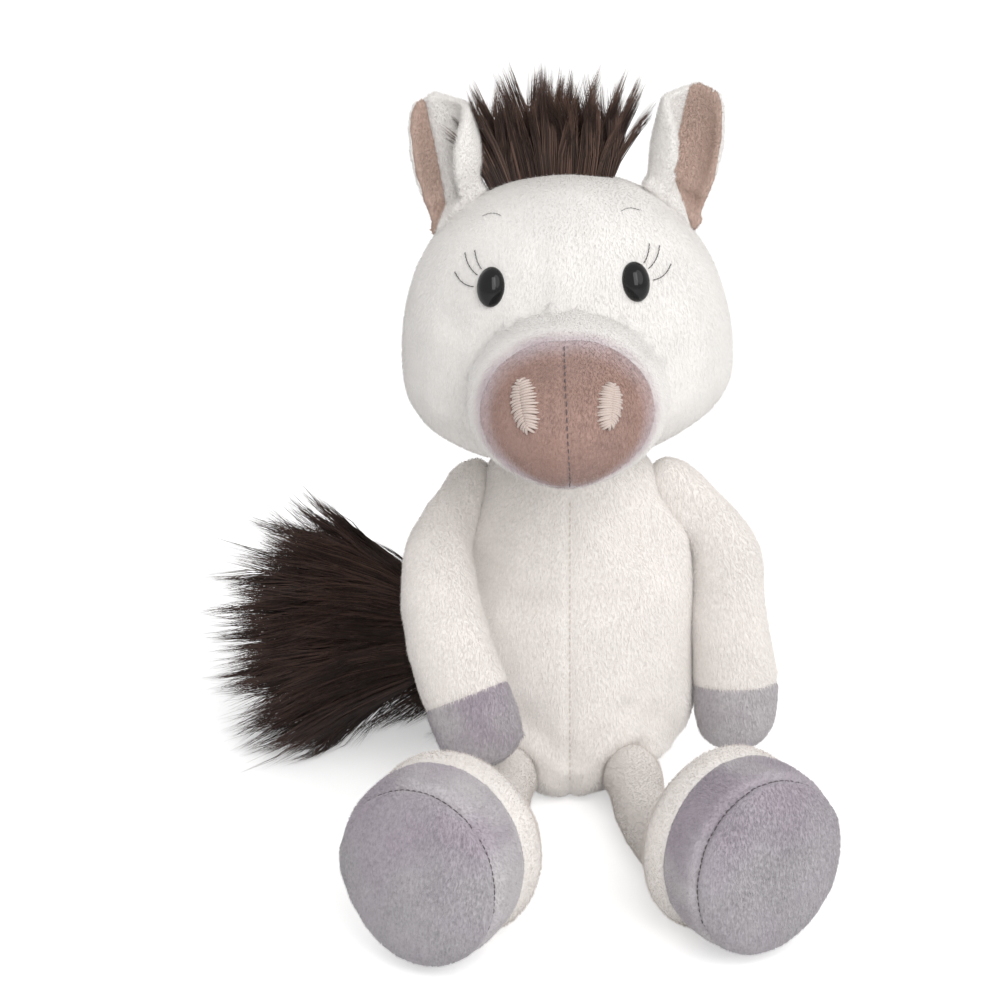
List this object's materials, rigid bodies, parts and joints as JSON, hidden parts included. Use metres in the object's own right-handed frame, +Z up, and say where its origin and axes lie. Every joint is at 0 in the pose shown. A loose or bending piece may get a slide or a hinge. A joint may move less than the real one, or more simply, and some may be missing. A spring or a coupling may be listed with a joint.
{
  "type": "plush horse",
  "caption": "Sitting stuffed horse with a domed muzzle, slim jointed limbs that flare to wide round hooves, folded ears, a tufted mane and a fanned tail.",
  "frame": {"origin": "on the floor, under the middle of the seat", "axes": "+Z up, -Y the way the toy faces, +X towards its own left side"},
  "size_m": [0.2305, 0.2368, 0.2663],
  "materials": {
    "cream_pile": "short cream pile",
    "white_pile": "short off-white pile",
    "nose_pile": "short mauve-brown pile",
    "ear_lining_pile": "short mauve-brown pile",
    "hoof_pile": "short mottled grey pile",
    "dark_fur": "long dark brown fur",
    "thread": "satin embroidery thread",
    "black_gloss": "polished black",
    "washer_plastic": "moulded",
    "filling": "loose polyester fibre",
    "pellets": "bag of small pellets"
  },
  "bodies": {
    "torso": {"torso_skin": "cream_pile", "torso_stuffing": "filling", "pellet_bag": "pellets"},
    "head": {"head_skin": "white_pile", "head_stuffing": "filling", "muzzle_skin": "white_pile", "nose_patch": "nose_pile", "nostril_left": "thread", "nostril_right": "thread", "eye_left": "black_gloss", "eye_right": "black_gloss", "eye_washer_left": "washer_plastic", "eye_washer_right": "washer_plastic", "forelock": "dark_fur", "mane": "dark_fur"},
    "ear_left": {"ear_outer_left": "white_pile", "ear_lining_left": "ear_lining_pile"},
    "ear_right": {"ear_outer_right": "white_pile", "ear_lining_right": "ear_lining_pile"},
    "arm_left": {"arm_sleeve_left": "cream_pile", "arm_hoof_left": "hoof_pile", "arm_stuffing_left": "filling"},
    "arm_right": {"arm_sleeve_right": "cream_pile", "arm_hoof_right": "hoof_pile", "arm_stuffing_right": "filling"},
    "leg_left": {"leg_skin_left": "cream_pile", "hoof_band_left": "hoof_pile", "sole_left": "hoof_pile", "leg_stuffing_left": "filling"},
    "leg_right": {"leg_skin_right": "cream_pile", "hoof_band_right": "hoof_pile", "sole_right": "hoof_pile", "leg_stuffing_right": "filling"},
    "tail": {"tail": "dark_fur"}
  },
  "joints": [
    {"name": "neck_nod", "type": "hinge", "parent": "torso", "child": "head", "pos_m": [0, 0.008, 0.112], "axis": [1, 0, 0], "range_deg": [-8, 10], "stiffness_Nm_per_rad": 1},
    {"name": "ear_left_fold", "type": "hinge", "parent": "head", "child": "ear_left", "pos_m": [0.03692, 0.006, 0.219], "axis": [0.7218, 0, -0.6921], "range_deg": [-15, 15], "stiffness_Nm_per_rad": 0.03},
    {"name": "ear_right_fold", "type": "hinge", "parent": "head", "child": "ear_right", "pos_m": [-0.04002, 0.006, 0.21604], "axis": [0.6665, 0, 0.7455], "range_deg": [-15, 5], "stiffness_Nm_per_rad": 0.03},
    {"name": "arm_left_swing", "type": "hinge", "parent": "torso", "child": "arm_left", "pos_m": [0.041, 0.008, 0.108], "axis": [1, 0, 0], "range_deg": [-70, 10]},
    {"name": "arm_right_swing", "type": "hinge", "parent": "torso", "child": "arm_right", "pos_m": [-0.041, 0.008, 0.108], "axis": [1, 0, 0], "range_deg": [-35, 0]},
    {"name": "leg_left_swing", "type": "hinge", "parent": "torso", "child": "leg_left", "pos_m": [0.024, -0.035, 0.012], "axis": [1, 0, 0], "range_deg": [0, 75]},
    {"name": "leg_right_swing", "type": "hinge", "parent": "torso", "child": "leg_right", "pos_m": [-0.024, -0.035, 0.012], "axis": [1, 0, 0], "range_deg": [0, 75]},
    {"name": "tail_swing", "type": "hinge", "parent": "torso", "child": "tail", "pos_m": [-0.014, 0.043, 0.032], "axis": [0, 0, 1], "range_deg": [-90, 0]}
  ]
}
